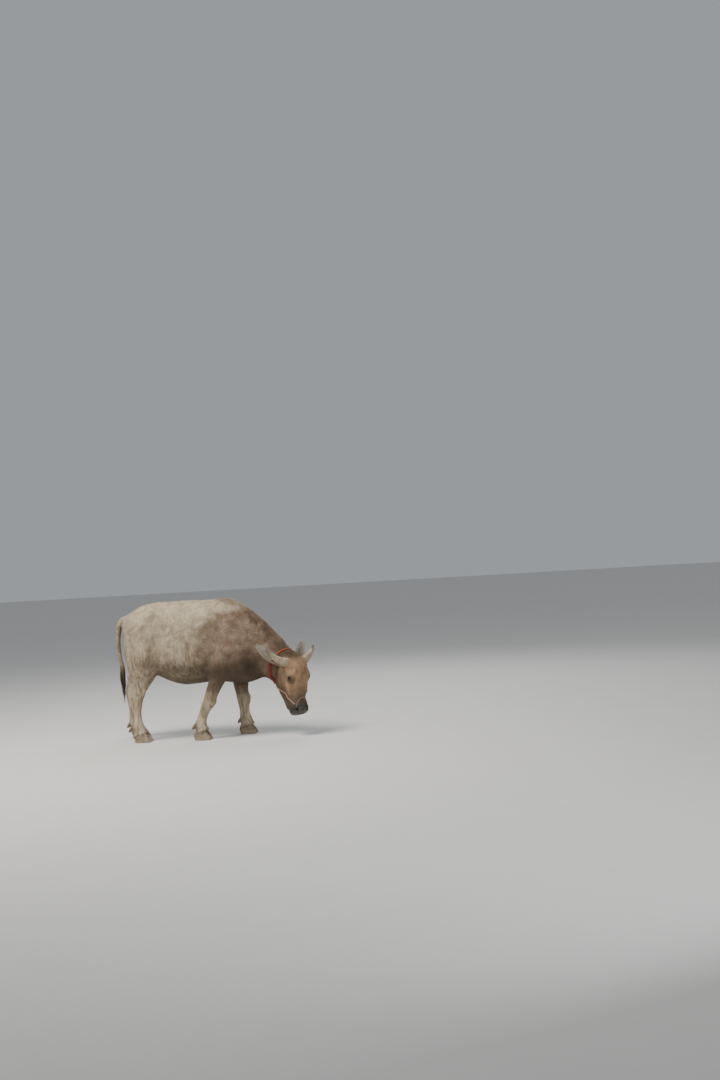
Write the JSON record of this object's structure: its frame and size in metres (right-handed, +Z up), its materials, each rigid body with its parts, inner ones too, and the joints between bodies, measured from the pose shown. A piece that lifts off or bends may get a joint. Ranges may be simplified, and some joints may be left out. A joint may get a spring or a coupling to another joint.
{
  "type": "water buffalo",
  "caption": "Young swamp water buffalo, life size, grazing head down in a walking stance, with short horns, tufted tail and a rope halter.",
  "frame": {"origin": "middle of the bounding box at the level of the soles", "axes": "+X from tail to head, +Y to the animal's left, +Z up"},
  "size_m": [1.5666, 0.55, 1.0731],
  "materials": {
    "hide": "matt hide with dried mud",
    "horn": "dull horn",
    "hoof": "dull, muddy hoof",
    "ear_skin": "matt",
    "eye": "wet gloss",
    "tail_hair": "coarse hair",
    "rope": "twisted rope",
    "red_yarn": "wrapped yarn",
    "bead": "satin"
  },
  "bodies": {
    "root": {"bead_left": "bead", "bead_right": "bead", "claw_fore_left_inner": "hoof", "claw_fore_left_outer": "hoof", "claw_fore_right_inner": "hoof", "claw_fore_right_outer": "hoof", "claw_hind_left_inner": "hoof", "claw_hind_left_outer": "hoof", "claw_hind_right_inner": "hoof", "claw_hind_right_outer": "hoof", "dewclaw_fore_left_inner": "hoof", "dewclaw_fore_left_outer": "hoof", "dewclaw_fore_right_inner": "hoof", "dewclaw_fore_right_outer": "hoof", "dewclaw_hind_left_inner": "hoof", "dewclaw_hind_left_outer": "hoof", "dewclaw_hind_right_inner": "hoof", "dewclaw_hind_right_outer": "hoof", "ear_left": "ear_skin", "ear_right": "ear_skin", "eye_left": "eye", "eye_right": "eye", "halter_nape": "red_yarn", "halter_rope_left": "rope", "halter_rope_right": "rope", "halter_yarn_left": "red_yarn", "halter_yarn_right": "red_yarn", "head": "hide", "horn_left": "horn", "horn_right": "horn", "leg_fore_left": "hide", "leg_fore_right": "hide", "leg_hind_left": "hide", "leg_hind_right": "hide", "neck": "hide", "nose_cord": "rope", "tail": "hide", "tail_switch": "tail_hair", "torso": "hide"}
  },
  "joints": []
}
